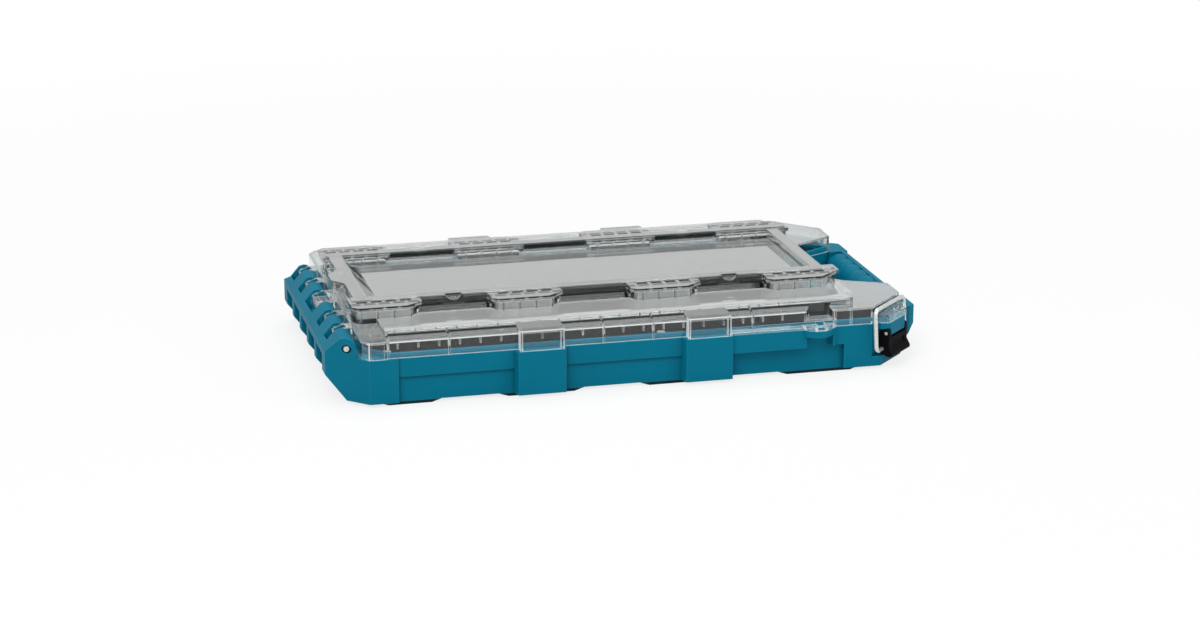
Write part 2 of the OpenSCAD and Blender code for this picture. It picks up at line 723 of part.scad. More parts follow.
module lid_form(e) {
  low = z_lid - (e > 0 ? 1 : 0);
  along_x(lid_profile(e, low), x_main_l + e, x_main_r - e);
  // the rails and the panel run on over both ends
  run_on = [for (p = lid_profile(e, z_end - 3)) if (abs(p[0]) < rail_y + rail_w) p];
  along_x(concat([[-(rail_y + 14), z_end - 3]], run_on, [[rail_y + 14, z_end - 3]]),
          x_lid + 4 + e, bay_x - e);
  // the flat strips run on a little further at the handle end
  strip = [for (p = lid_profile(e, z_end - 3)) if (abs(p[0]) < y_band - bevel_w + 1) p];
  along_x(concat([[-(y_band - bevel_w), z_end - 3]], strip, [[y_band - bevel_w, z_end - 3]]),
          x_main_r - 9 - e, bay_x - 2 - e);
  lid_ends(e);
  lid_end_bars(e);
  both_sides() {
    for (i = [0:block_n - 1]) lid_block(i, e);
    for (x = pilasters) pilaster_cap(x, e);
    lid_nose(e);
  }
}

// Small gussets inside the slope, and tall ones on the outside of the skirt.
module gussets() {
  thick = 1.4;
  n = floor((x_main_r - x_main_l - 10) / gusset_pitch);
  for (i = [0:n]) {
    x = x_main_l + 8 + i * gusset_pitch;
    if (x + thick < notch_x - lid_t) along_x([
      [-(y_band - 1), z_seam + 8.7], [-(y_band - 1), z_skirt],
      [-(y_band - bevel_w + 0.6), z_top - 2], [-(y_band - bevel_w - 2), z_top - 0.4],
      [-(y_band - bevel_w - 6), z_top - 0.4], [-(y_band - 4), z_seam + 8.7]], x, x + thick);
  }
  for (x = [x_lid + 23, x_lid + 77.3, x_mid - 19.1, x_mid + 26.4, x_mid + 118.8])
    along_x([[-(y_band + 1), z_lid], [-(y_band + 1), z_skirt + 0.5],
             [-(y_band - bevel_w), z_top + 0.6], [-(y_band - bevel_w - 2), z_top],
             [-(y_band - 1), z_seam + lip_h + 2], [-(y_band - 1), z_lid]], x - 0.9, x + 0.9);
}

// Uprights inside the windows at the handle end and behind the nose's front.
module end_posts() {
  x = x_ledge + 17;
  box(x, x + 1.6, -y_post + lid_t - 0.3, -y_post + lid_t + 2.4, z_lid, z_end - 1);
  latch_corner() box(nose_r - lid_t - 2.2, nose_r - lid_t + 0.3, -0.8, 0.8, z_lid, z_skirt - 7.5);
}

// Sloping ledge along the wide rim, with the padlock ring.
module lid_ledge() {
  slab([[pilasters[1] + pilaster_w / 2, -y_band], [pilasters[1] + pilaster_w / 2, -y_ledge],
        [x_ledge, -y_ledge], [x_ledge + 3, -y_post], [x_ledge + 3, -y_band]], z_lid, z_lid + 2);
  along_x([[-y_band + 1, z_lid], [-y_ledge + 0.5, z_lid], [-y_ledge + 0.5, z_lid + 2],
           [-y_band, z_lid + 5.5], [-y_band + 1, z_lid + 5.5]],
          pilasters[1] + pilaster_w / 2, x_ledge);
  intersection() {
    hasp_tab(z_lid, hasp_top);
    box(x_mid, x_lobe, -hasp_out - 1, -y_band + 1, z_lid, hasp_top);
  }
}

module knuckle(k) {
  w = k[1];
  difference() {
    union() {
      rod_y(x_axis, z_axis, knuckle_d, k[0] - w / 2, k[0] + w / 2);
      along_y([[x_axis, z_axis - 2.6], [x_lid + 1, z_axis - 2.6], [x_lid + 1, z_end - 0.4],
               [x_axis + 3, z_end - 0.4], [x_axis, z_axis + knuckle_d / 2]],
              k[0] - w / 2, k[0] + w / 2);
    }
    // open window in the top
    box(x_axis - 4.6, x_axis + 6, k[0] - w / 2 + 3, k[0] + w / 2 - 3,
        z_axis + pin_d / 2 + 1.6, z_axis + 20);
  }
}

// Notches through the outer face of the rails, half way between blocks.
module rail_notches() {
  r = 8;
  both_sides() for (i = [0, 2]) {
    x = block_x(i) + block_pitch / 2;
    translate([x, -(rail_y + 1.2), z_rail + 2.5]) rotate([90, 0, 0]) cylinder(h = 9, r = r);
  }
}

module lid_shell() {
  color(clear) difference() {
    union() {
      difference() {
        lid_solid(0);
        lid_solid(lid_t);
      }
      intersection() {
        lid_solid(0);
        both_sides() for (i = [0, 2]) {
          x = block_x(i) + block_pitch / 2;
          box(x - 10, x + 10, -rail_y - 4, -rail_y + 0.4, z_rail - 9, z_rail);
        }
      }
      both_sides() {
        gussets();
        end_posts();
        lid_ledge();
        catch_ridge();
        for (i = [0:block_n - 1]) block_ribs(i);
      }
      for (k = knuckles) knuckle(k);
      // thick wall behind the windows of the tongue
      slab([[x_lid - 1, -8], [x_lid + 12, -30], [x_lid + 12, 30], [x_lid - 1, 8]],
           z_end - 3, z_end);
    }
    both_sides() {
      translate([hasp_x, -hasp_y, z_seam]) cylinder(h = 12, d = padlock_d);
      for (i = [0:block_n - 1]) block_windows(i);
      tongue_windows();
    }
    rail_notches();
    rod_y(x_axis, z_axis, pin_d + 2 * run_gap, -y_post, y_post);
  }
}

// Three windows in each slanting face of the tongue.
module tongue_windows() {
  a = atan2(-25, 17);
  for (k = [0:2])
    translate([x_lid - 3, -9, 0]) rotate([0, 0, a])
      box(4 + k * 8.6, 10 + k * 8.6, -1.6, 1, z_top + 2.6, z_rail - 2.6);
}

// -------------------------------------------------------------- latches ----

module lever() {
  hw = lever_w / 2;
  difference() {
    union() {
      for (s = [-1, 1])
        along_y([[lever_front, lever_low + 1], [lever_front, pivot_z + 1.4],
                 [lever_front - 1.8, pivot_z + 3.6], [pivot_r - 2.6, pivot_z + 3.6],
                 [recess_r + 2, pivot_z], [recess_r + 2, bail_z],
                 [recess_r + 5, bail_z - 4], [pivot_r - 1.5, lever_low + 0.6]],
                s > 0 ? cheek_in : -hw, s > 0 ? hw : -cheek_in);
      box(lever_front - 4, lever_front, -hw, hw, lever_low, pivot_z - 4.4);
      along_y([[lever_front - 4, lever_low], [lever_front, lever_low - 0.6],
               [lever_front + 3.4, lever_low + 0.6], [lever_front + 3.4, lever_low + 3],
               [lever_front, lever_low + 9]], -hw, hw);
    }
    rod_y(pivot_r, pivot_z, latch_pin_d + 2 * run_gap, -hw - 1, hw + 1);
    rod_y(bail_r, bail_z, wire_d + 2 * run_gap, -hw - 1, hw + 1);
    // finger groove across the front
    rod_y(lever_front + 3.6, lever_low + 10.5, 9, -hw + 5, hw - 5);
  }
}

module latch_pin() {
  rod_y(pivot_r, pivot_z, latch_pin_d, -lever_w / 2, lever_w / 2);
}

// Quarter bend of the wire, from +Y towards +Z round the point [y, z].
module wire_quarter(y, z, turn) {
  translate([0, y, z]) rotate([turn, 0, 0]) rotate([0, 90, 0])
    rotate_extrude(angle = 90) translate([wire_bend, 0]) circle(d = wire_d);
}

module bail() {
  h = bail_w / 2;
  stub_in = cheek_in;
  translate([bail_r, 0, bail_z]) rotate([0, bail_lean, 0]) {
    for (s = [0, 1]) mirror([0, s, 0]) {
      translate([0, stub_in, 0]) rotate([-90, 0, 0])
        cylinder(h = h - wire_bend - stub_in, d = wire_d);
      translate([0, h, wire_bend]) cylinder(h = bail_len - 2 * wire_bend, d = wire_d);
      wire_quarter(h - wire_bend, wire_bend, 0);
      wire_quarter(h - wire_bend, bail_len - wire_bend, 90);
    }
    translate([0, -h + wire_bend, bail_len]) rotate([-90, 0, 0])
      cylinder(h = 2 * (h - wire_bend), d = wire_d);
  }
}

module latch_lever_near() { color(black) latch_corner() lever(); }
module latch_lever_far() { color(black) mirror([0, 1, 0]) latch_corner() lever(); }
module latch_pin_near() { color(steel) latch_corner() latch_pin(); }
module latch_pin_far() { color(steel) mirror([0, 1, 0]) latch_corner() latch_pin(); }
module latch_bail_near() { color(steel) latch_corner() bail(); }
module latch_bail_far() { color(steel) mirror([0, 1, 0]) latch_corner() bail(); }

base_shell();
handle_grip();
handle_screws();
stack_feet();
hinge_pin();
latch_pin_near();
latch_pin_far();
blade_tray();
tray_screws();
arbor_post(x_large);  // arbor_post_large
arbor_post(x_small);  // arbor_post_small
post_screws();
blade_pad(x_large, large_pad_d);  // blade_pad_large
blade_pad(x_small, small_pad_d);  // blade_pad_small
retaining_knob(x_large);  // retaining_knob_large
retaining_knob(x_small);  // retaining_knob_small
knob_washer(x_large);  // knob_washer_large
knob_washer(x_small);  // knob_washer_small
lid_shell();
latch_lever_near();
latch_lever_far();
latch_bail_near();
latch_bail_far();
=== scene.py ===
"""Looks of the saw blade storage case: finishes, light and the camera.

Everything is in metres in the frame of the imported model: X runs from the
hinge wall to the carry handle, Y across the case, Z up from the ground.
"""

import math

import bpy
from mathutils import Matrix, Vector


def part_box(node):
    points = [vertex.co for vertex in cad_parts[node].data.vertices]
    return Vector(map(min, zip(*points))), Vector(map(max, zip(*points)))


MM = 0.001

# Camera, fitted to the photograph
CAM_PLACE = Vector((-0.65023, -2.59578, 0.82525))
CAM_AZIMUTH = math.radians(-14.148)
CAM_ELEVATION = math.radians(16.705)
CAM_LENS = 89.2
CAM_SENSOR = 36.0
CAM_REACH = 60.0

# Surroundings
LAMP_AIM = Vector((0.0, 0.0, 0.0))
LAMPS = [  # name, place, side in metres, power in watts
    ("key", Vector((-1.2, -1.6, 2.2)), 1.6, 42.0),
    ("fill", Vector((1.8, -1.2, 1.4)), 1.4, 14.0),
    ("top", Vector((0.1, 0.8, 2.4)), 1.8, 26.0),
]
WORLD_LIGHT = 0.45
FLOOR_HALF = 20.0
FLOOR_PAINT = (0.85, 0.85, 0.85)
GLOW_SHARE = 0.8            # of the floor's look near the case; its paint gives the rest
GLOW_GROWS = 0.6            # distance from which the glow's share grows
GLOW_FULL = 1.4             # distance from which it is all
GLOW_RAMP = 2.0             # distance at the end of the ramp that holds both

# Surface colours, linear
TEAL = (0.0, 0.158, 0.250)
# pale cyan painted highlight along the teal's edges
TEAL_HIGHLIGHT = (0.030, 0.290, 0.400)
BLACK = (0.004, 0.004, 0.005)
# painted highlight along the dark plastics' edges
BLACK_HIGHLIGHT = (0.040, 0.042, 0.042)
TRAY = (0.008, 0.008, 0.009)
# the teal darkened as the feet look in the shade under the case: painted shade
FEET_SHADED_TEAL = (0.004, 0.018, 0.025)
STEEL = (0.70, 0.71, 0.68)

# Moulded plastic; waves are per metre
DRIFT = 0.05                # slow change of shade, to either side
DRIFT_WAVES = 14.0
GRAIN_WAVES = 2500.0
GRAIN_DEPTH = 0.04 * MM
GRAIN_STRENGTH = 0.6
GRAIN_SMOOTHER = 0.04       # roughness below and above its mean value
GRAIN_ROUGHER = 0.05
EDGE_RADIUS = 1.2 * MM
EDGE_GAIN = 7.0             # from a rounded normal's lean to the edge's strength
EDGE_HIGHLIGHT = 0.6             # most of the painted highlight colour that an edge takes
EDGE_OPEN = (0.75, 0.95)    # openness over which an edge takes its painted highlight
CREASE_REACH = 4 * MM
CREASE_SHADE = 0.45
CREASE_OPEN = (0.2, 0.95)   # openness over which a crease's painted shade fades away
RUBBER_WAVES = 900.0
RUBBER_DEPTH = 0.2 * MM

# Steel
MARK_WAVES = 900.0
BLOOM_WAVES = 60.0
BLOOM_SHADE = 0.9
METALLIC = 0.6
MARK_SMOOTHER = 0.06
MARK_ROUGHER = 0.08

# Lid: what its parts let through, with tints that paint shade and light on what is seen
# through, its painted white sheen, and the painted shade under its slope
CLEAR = (0.78, 0.80, 0.795)
# flats, block tops and panes darken what is seen through them, as painted shade; the skirt's
# foot brightens the teal rim behind it, as painted light
FLAT_SHADE_TINT = (0.50, 0.53, 0.53)
TOP_SHADE_TINT = (0.20, 0.215, 0.215)
SKIRT_LIGHT_TINT = (0.80, 0.97, 0.98)
PANE_SHADE_TINT = (0.05, 0.06, 0.07)
# near black of the painted shadow on rail walls, slots and the slope's line
PAINTED_BLACK_TINT = (0.02, 0.022, 0.022)
# white of the lid's painted highlights and painted reflections
SHEEN_WHITE = (0.86, 0.88, 0.87)
SHADE = (0.02, 0.03, 0.032)
LAMP_LIGHT_PASSED = (0.93, 0.94, 0.94)
LID_EDGE_RADIUS = 0.5 * MM
LID_IOR = 1.45
LID_SHINE = 0.3
LID_WAVES = 60.0
LID_ROUGHNESS = (0.01, 0.04)
COAT_IOR = 1.6
COAT_ROUGHNESS = 0.05

# Lid: how strong the painted sheen of each part is: white painted highlights on edges,
# ridges, caps' ends and block feet, painted reflection on flats, strips and slope
LID_EDGE_SHEEN = 0.30
OUTER_EDGE_SHEEN = 0.80
FLAT_SHEEN = 0.12
STRIP_SHEEN = 0.25
SLOPE_SHEEN = 0.10
FOOT_SHEEN = 0.25
CAP_END_SHEEN = 0.75
RIDGE_SHEEN = 0.85

# Lid: how strong its painted black and painted shade are
WALL_PAINTED_BLACK = 0.85            # painted black on the rails' inner walls
WALL_SHADE = 0.5
LINE_SHADE = 0.85
SLOPE_SHADE = 0.25
PANE_STRENGTH = 0.8
COAT_LOSS = 0.7             # coat missing on panes and caps

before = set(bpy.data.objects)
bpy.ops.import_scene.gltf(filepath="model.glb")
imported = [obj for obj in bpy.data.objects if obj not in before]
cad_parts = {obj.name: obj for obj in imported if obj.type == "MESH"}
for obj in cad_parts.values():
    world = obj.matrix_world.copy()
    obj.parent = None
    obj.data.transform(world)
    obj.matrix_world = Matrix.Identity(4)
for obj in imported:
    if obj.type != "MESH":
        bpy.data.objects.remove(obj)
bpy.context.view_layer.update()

# Lid's levels in the source
RAIL_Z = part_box("lid_shell")[1][2]
STRIP_Z = RAIL_Z - 12.8 * MM            # flat strips beside the rails
PANEL_Z = STRIP_Z + 3.6 * MM            # sunken middle panel
SKIRT_Z = STRIP_Z - 5.8 * MM            # top of the upright skirt
SLOPE_TOP_Z = STRIP_Z - 1.5 * MM
CAP_Z = SKIRT_Z + 3.6 * MM              # front edge of a pilaster's cap
SKIRT_FOOT_Z = SKIRT_Z - 8.5 * MM       # below it the skirt is at its clearest, with a cyan tint that paints light on the teal rim behind it

# Lid's places in the source, to either side of the middle plane and along the case
RAIL_IN_Y = 70 * MM
RAIL_OUT_Y = 82 * MM
SLOPE_TOP_Y = 142.5 * MM
SKIRT_Y = 154 * MM
CAP_Y = 162 * MM
LID_END_X = -248 * MM                   # face of the lid's wall at the hinge
BLOCK_X = 41.6 * MM                     # middle of one of the wide blocks
BLOCK_PITCH = 129 * MM
BLOCK_LENGTH = 67 * MM
GAP_X = BLOCK_X - BLOCK_PITCH / 2       # middle of a gap between two blocks
GAP_HALF = (BLOCK_PITCH - BLOCK_LENGTH) / 2 - 0.2 * MM
PANE_PITCH = (BLOCK_LENGTH - 14 * MM) / 4
PANE_X = BLOCK_X + PANE_PITCH / 2
PANE_HALF = 5.2 * MM

# Lid's zones: each measure's lowest and highest value and, if it isn't
# PLACE_SOFT, the softness of the border. "side" is the distance from the middle
# plane; "up" and "end" are how far a face looks up or down, and along the case.
OPEN = 2.0                              # beyond any place on the case and any normal
PLACE_SOFT = 0.4 * MM
TOP_SOFT = 0.2 * MM
LINE_SOFT = 0.1 * MM
FLATS = {"up": (0.97, OPEN, 0.01)}
SLOPES = {"up": (0.80, 0.965, 0.005),
          "side": (SLOPE_TOP_Y - 17.5 * MM, SKIRT_Y + 6.0 * MM),
          "height": (SKIRT_Z - 1.0 * MM, SLOPE_TOP_Z + 0.2 * MM)}
SLOPE_LINE = {"height": (SLOPE_TOP_Z - 1.1 * MM, OPEN, LINE_SOFT)}
STRIPS = {"side": (RAIL_OUT_Y + 4.0 * MM, SKIRT_Y + 6.0 * MM),
          "height": (STRIP_Z - 1.4 * MM, STRIP_Z + 2.6 * MM)}
RAIL_INSIDE = {"side": (RAIL_IN_Y - 0.8 * MM, RAIL_IN_Y + 1.0 * MM),
               "height": (PANEL_Z + 4.0 * MM, RAIL_Z - 1.0 * MM)}
RAIL_OUTSIDE = {"side": (RAIL_OUT_Y - 0.5 * MM, RAIL_OUT_Y + 3.4 * MM),
                "height": (STRIP_Z + 2.0 * MM, RAIL_Z - 0.8 * MM)}
BLOCK_TOPS = {"height": (RAIL_Z - 2.0 * MM, OPEN, TOP_SOFT)}
BLOCK_SLOTS = {"side": (RAIL_OUT_Y + 0.4 * MM, RAIL_OUT_Y + 6.6 * MM),
               "height": (RAIL_Z - 8.0 * MM, RAIL_Z - 1.2 * MM)}
BLOCK_PANES = {"side": (RAIL_OUT_Y + 6.4 * MM, RAIL_OUT_Y + 13.0 * MM),
               "height": (RAIL_Z - 1.2 * MM, RAIL_Z - 0.4 * MM)}
BLOCK_FEET = {"side": (RAIL_OUT_Y + 12.0 * MM, RAIL_OUT_Y + 16.5 * MM),
              "height": (STRIP_Z, RAIL_Z - 3.6 * MM)}
CAP_TOPS = {"side": (SLOPE_TOP_Y + 0.3 * MM, CAP_Y + 8.0 * MM),
            "height": (CAP_Z - 0.6 * MM, CAP_Z + 3.4 * MM)}
CAP_ENDS = {"side": (SKIRT_Y + 0.6 * MM, OPEN), "end": (0.8, OPEN, 0.02)}
CAP_RIDGE = {"side": (CAP_Y - 1.3 * MM, CAP_Y + 0.8 * MM, LINE_SOFT),
             "height": (CAP_Z - 0.6 * MM, CAP_Z + 0.6 * MM, LINE_SOFT)}
SKIRT_RIDGE = {"side": (SKIRT_Y - 1.1 * MM, SKIRT_Y + 0.8 * MM, LINE_SOFT),
               "height": (SKIRT_Z - 0.6 * MM, SKIRT_Z + 0.6 * MM, LINE_SOFT)}
SKIRT_FOOT = {"height": (-OPEN, SKIRT_FOOT_Z)}
SKIRT_SIDE = {"side": (SKIRT_Y - 4.5 * MM, OPEN)}
KNUCKLES = {"along": (-OPEN, LID_END_X - 0.8 * MM)}


# ---------------------------------------------------------------- nodes ----

# Sockets that share a name are found by number
COLOUR_A = 6
COLOUR_B = 7
COLOUR_OUT = 2
SHADER_A = 1
SHADER_B = 2


class Graph:
    """Nodes of a material or of the world in the making."""

    def __init__(self, owner):
        owner.use_nodes = True
        self.owner = owner
        self.tree = owner.node_tree
        self.tree.nodes.clear()

    def put(self, value, socket):
        """Give a socket a number, a colour or another node's output."""
        if isinstance(value, bpy.types.NodeSocket):
            self.tree.links.new(value, socket)
        elif isinstance(value, tuple):
            socket.default_value = (*value, 1.0)
        else:
            socket.default_value = value

    def add(self, kind, inputs=None, **settings):
        """New node with its inputs and settings."""
        node = self.tree.nodes.new("ShaderNode" + kind)
        for key, value in settings.items():
            setattr(node, key, value)
        for key, value in (inputs or {}).items():
            self.put(value, node.inputs[key])
        return node

    def math(self, operation, *values, clamp=True):
        inputs = dict(enumerate(values))
        return self.add("Math", inputs, operation=operation, use_clamp=clamp).outputs[0]

    def all_of(self, first, *others):
        """Product: one where every mask is one."""
        for mask in others:
            first = self.math("MULTIPLY", first, mask)
        return first

    def any_of(self, first, *others):
        """Largest: one where any mask is one."""
        for mask in others:
            first = self.math("MAXIMUM", first, mask)
        return first

    def none_of(self, mask):
        return self.math("SUBTRACT", 1.0, mask)

    def size_of(self, value):
        return self.math("ABSOLUTE", value, clamp=False)

    def noise(self, waves, detail=3.0):
        """Noise in object coordinates, with so many waves per metre."""
        place = self.add("TexCoord").outputs["Object"]
        inputs = {"Vector": place, "Scale": waves, "Detail": detail}
        return self.add("TexNoise", inputs).outputs["Fac"]

    def ramp(self, source, low, high, start=0.3, end=0.7):
        """Value or colour going from low to high as source does from start to end."""
        node = self.add("ValToRGB", {"Fac": source})
        ends = zip(node.color_ramp.elements, (start, end), (low, high))
        for element, place, shade in ends:
            colour = shade if isinstance(shade, tuple) else (shade, shade, shade)
            element.position = place
            element.color = (*colour, 1.0)
        return node.outputs["Color"]

    def band(self, value, low, high, soft=PLACE_SOFT):
        """One where value lies between low and high, and zero elsewhere."""
        up = self.add("MapRange", {
            "Value": value, "From Min": low - soft, "From Max": low + soft})
        down = self.add("MapRange", {
            "Value": value, "From Min": high - soft, "From Max": high + soft,
            "To Min": 1.0, "To Max": 0.0})
        return self.all_of(up.outputs[0], down.outputs[0])

    def mix(self, share, a, b):
        """Colour between a and b."""
        inputs = {"Factor": share, COLOUR_A: a, COLOUR_B: b}
        return self.add("Mix", inputs, data_type="RGBA").outputs[COLOUR_OUT]

    def mix_shader(self, share, a, b):
        inputs = {"Fac": share, SHADER_A: a, SHADER_B: b}
        return self.add("MixShader", inputs).outputs["Shader"]

    def rounding(self, radius):
        """Normal with softened edges, and how far it leans from the flat faces."""
        soft = self.add("Bevel", {"Radius": radius}, samples=6).outputs["Normal"]
        flat = self.add("NewGeometry").outputs["Normal"]
        dot = self.add("VectorMath", {0: soft, 1: flat}, operation="DOT_PRODUCT")
        lean = self.none_of(dot.outputs["Value"])
        return soft, self.math("MULTIPLY", lean, EDGE_GAIN)

    def openness(self, reach):
        """One in the open, less where the piece's own walls stand close."""
        settings = {"samples": 4, "only_local": True}
        return self.add("AmbientOcclusion", {"Distance": reach}, **settings).outputs["AO"]

    def seen(self):
        """One for rays that show the surroundings: direct, mirrored or through the lid."""
        rays = self.add("LightPath").outputs
        return self.any_of(rays["Is Camera Ray"], rays["Is Glossy Ray"],
                           rays["Is Transmission Ray"])

    def finish(self, shader, output="OutputMaterial"):
        self.tree.links.new(shader, self.add(output).inputs["Surface"])
        return self.owner


class LidGraph(Graph):
    """Nodes that know places on the lid, in the lid's own coordinates."""

    def __init__(self, owner):
        super().__init__(owner)
        coord = self.add("TexCoord").outputs
        normal = self.add("SeparateXYZ", {"Vector": coord["Normal"]}).outputs
        place = self.add("SeparateXYZ", {"Vector": coord["Object"]}).outputs
        self.measures = {
            "along": place["X"], "side": self.size_of(place["Y"]), "height": place["Z"],
            "up": self.size_of(normal["Z"]), "end": self.size_of(normal["X"])}
        self.flat = self.zone(FLATS)
        self.slope = self.zone(SLOPES)
        self.line = self.all_of(self.slope, self.zone(SLOPE_LINE))
        self.wall = self.zone(RAIL_INSIDE)
        self.gap = self.row(GAP_X, BLOCK_PITCH, GAP_HALF)
        self.cap = self.all_of(self.flat, self.zone(CAP_TOPS))
        panes = self.row(PANE_X, PANE_PITCH, PANE_HALF)
        self.pane = self.all_of(self.flat, panes, self.none_of(self.gap),
                                self.zone(BLOCK_PANES))

    def zone(self, limits):
        """One where every measure lies within its limits."""
        masks = [self.band(self.measures[key], *ends) for key, ends in limits.items()]
        return self.all_of(*masks)

    def row(self, middle, pitch, half):
        """One within half of the nearest of a row of places along the case."""
        shift = self.math("SUBTRACT", self.measures["along"], middle, clamp=False)
        fold = self.math("WRAP", shift, pitch / 2, -pitch / 2, clamp=False)
        return self.band(self.size_of(fold), -OPEN, half)


def new_material(name):
    return bpy.data.materials.new(name)


def scaled(colour, factor):
    return tuple(part * factor for part in colour)


# ------------------------------------------------------------ materials ----

def plastic(name, colour, highlight_colour, rough, gloss, waves=GRAIN_WAVES, depth=GRAIN_DEPTH):
    """Moulded plastic: fine texture, slight shade drift, painted highlights on its edges and
    painted shade in its creases.
    """
    g = Graph(new_material(name))
    drift = g.ramp(g.noise(DRIFT_WAVES), scaled(colour, 1 - DRIFT), scaled(colour, 1 + DRIFT))
    soft, lean = g.rounding(EDGE_RADIUS)
    clear = g.openness(CREASE_REACH)
    # painted highlight on open edges
    edge_highlight = g.all_of(lean, g.ramp(clear, 0.0, EDGE_HIGHLIGHT, *EDGE_OPEN))
    # painted shade in creases, where the piece's own walls stand close
    shade = g.mix(g.ramp(clear, 0.0, 1.0, *CREASE_OPEN), scaled(colour, CREASE_SHADE), drift)
    grain = g.noise(waves, 2.0)
    relief = g.add("Bump", {
        "Strength": GRAIN_STRENGTH, "Distance": depth, "Height": grain, "Normal": soft})
    bsdf = g.add("BsdfPrincipled", {
        "Base Color": g.mix(edge_highlight, shade, highlight_colour),
        "Roughness": g.ramp(grain, rough - GRAIN_SMOOTHER, rough + GRAIN_ROUGHER),
        "Specular IOR Level": gloss,
        "Normal": relief.outputs["Normal"]})
    return g.finish(bsdf.outputs["BSDF"])


def metal(name, colour, rough):
    """Zinc-plated steel with faint drawing marks and a dull bloom."""
    g = Graph(new_material(name))
    marks = g.noise(MARK_WAVES)
    bsdf = g.add("BsdfPrincipled", {
        "Base Color": g.ramp(g.noise(BLOOM_WAVES), scaled(colour, BLOOM_SHADE), colour),
        "Metallic": METALLIC,
        "Roughness": g.ramp(marks, rough - MARK_SMOOTHER, rough + MARK_ROUGHER)})
    return g.finish(bsdf.outputs["BSDF"])


def lid_painted_black(g):
    """Where the lid is painted black, as painted shadow: rail walls, slots and the line over
    the slope.
    """
    beside_gap = g.any_of(g.wall, g.zone(RAIL_OUTSIDE))
    return g.any_of(g.all_of(g.gap, beside_gap), g.zone(BLOCK_SLOTS), g.line,
                    g.all_of(g.wall, WALL_PAINTED_BLACK))


def lid_tint(g, painted_black):
    """What each part of the lid lets through. Only CLEAR is the plastic's own; the darker
    tints paint shade on what is seen through flats, block tops, panes and painted black, and
    the skirt foot's cyan tint paints light on the teal rim.
    """
    tint = g.mix(g.flat, CLEAR, FLAT_SHADE_TINT)
    tint = g.mix(g.zone(SKIRT_FOOT), tint, SKIRT_LIGHT_TINT)
    tint = g.mix(g.zone(BLOCK_TOPS), tint, TOP_SHADE_TINT)
    tint = g.mix(g.all_of(g.pane, PANE_STRENGTH), tint, PANE_SHADE_TINT)
    return g.mix(painted_black, tint, PAINTED_BLACK_TINT)


def lid_gloss(g, soft, painted_black):
    """The clear plastic itself, with a coat that makes its flats mirror the surroundings."""
    coat_gone = g.all_of(g.any_of(g.pane, g.cap), COAT_LOSS)
    return g.add("BsdfPrincipled", {
        "Base Color": lid_tint(g, painted_black),
        "Transmission Weight": 1.0,
        "IOR": LID_IOR,
        "Specular IOR Level": LID_SHINE,
        "Roughness": g.ramp(g.noise(LID_WAVES), *LID_ROUGHNESS),
        "Coat Weight": g.math("SUBTRACT", g.flat, coat_gone),
        "Coat IOR": COAT_IOR,
        "Coat Roughness": COAT_ROUGHNESS,
        "Normal": soft}).outputs["BSDF"]


def lid_painted_sheen(g, lean):
    """How much painted sheen each part of the lid takes: white painted highlights on edges,
    ridges, caps' ends and block feet, and painted reflection on flats, strips and slope.
    """
    outer = g.any_of(g.zone(SKIRT_SIDE), g.zone(KNUCKLES))
    edge = g.add("MapRange", {
        "Value": outer, "To Min": LID_EDGE_SHEEN, "To Max": OUTER_EDGE_SHEEN}).outputs[0]
    shares = [
        (lean, edge),
        (g.flat, FLAT_SHEEN),
        (g.all_of(g.flat, g.zone(STRIPS)), STRIP_SHEEN),
        (g.slope, SLOPE_SHEEN),
        (g.all_of(g.zone(BLOCK_FEET), g.none_of(g.flat)), FOOT_SHEEN),
        (g.zone(CAP_ENDS), CAP_END_SHEEN),
        (g.zone(SKIRT_RIDGE), RIDGE_SHEEN),
        (g.zone(CAP_RIDGE), RIDGE_SHEEN)]
    return g.any_of(*[g.all_of(mask, share) for mask, share in shares])


def lid_shading(g):
    """How much painted shade each part of the lid takes, whatever lies behind it."""
    return g.any_of(g.all_of(g.line, LINE_SHADE),
                    g.all_of(g.any_of(g.slope, g.cap), SLOPE_SHADE),
                    g.all_of(g.wall, WALL_SHADE))


def clear_plastic(name):
    """Clear moulded lid that lets lamp light through to what it covers."""
    g = LidGraph(new_material(name))
    soft, lean = g.rounding(LID_EDGE_RADIUS)
    painted_black = lid_painted_black(g)
    # white diffuse layer that carries the painted highlights and reflections
    painted_sheen = g.add("BsdfDiffuse", {"Color": SHEEN_WHITE, "Normal": soft}).outputs["BSDF"]
    # dark diffuse layer that carries the painted shade
    shade = g.add("BsdfDiffuse", {"Color": SHADE}).outputs["BSDF"]
    passed = g.add("BsdfTransparent", {"Color": LAMP_LIGHT_PASSED}).outputs["BSDF"]
    # share of painted sheen, kept off the painted black and the panes
    pale = g.all_of(lid_painted_sheen(g, lean), g.none_of(painted_black), g.none_of(g.pane))
    lit = g.mix_shader(pale, lid_gloss(g, soft, painted_black), painted_sheen)
    body = g.mix_shader(lid_shading(g), lit, shade)
    shadow = g.add("LightPath").outputs["Is Shadow Ray"]
    return g.finish(g.mix_shader(shadow, body, passed))


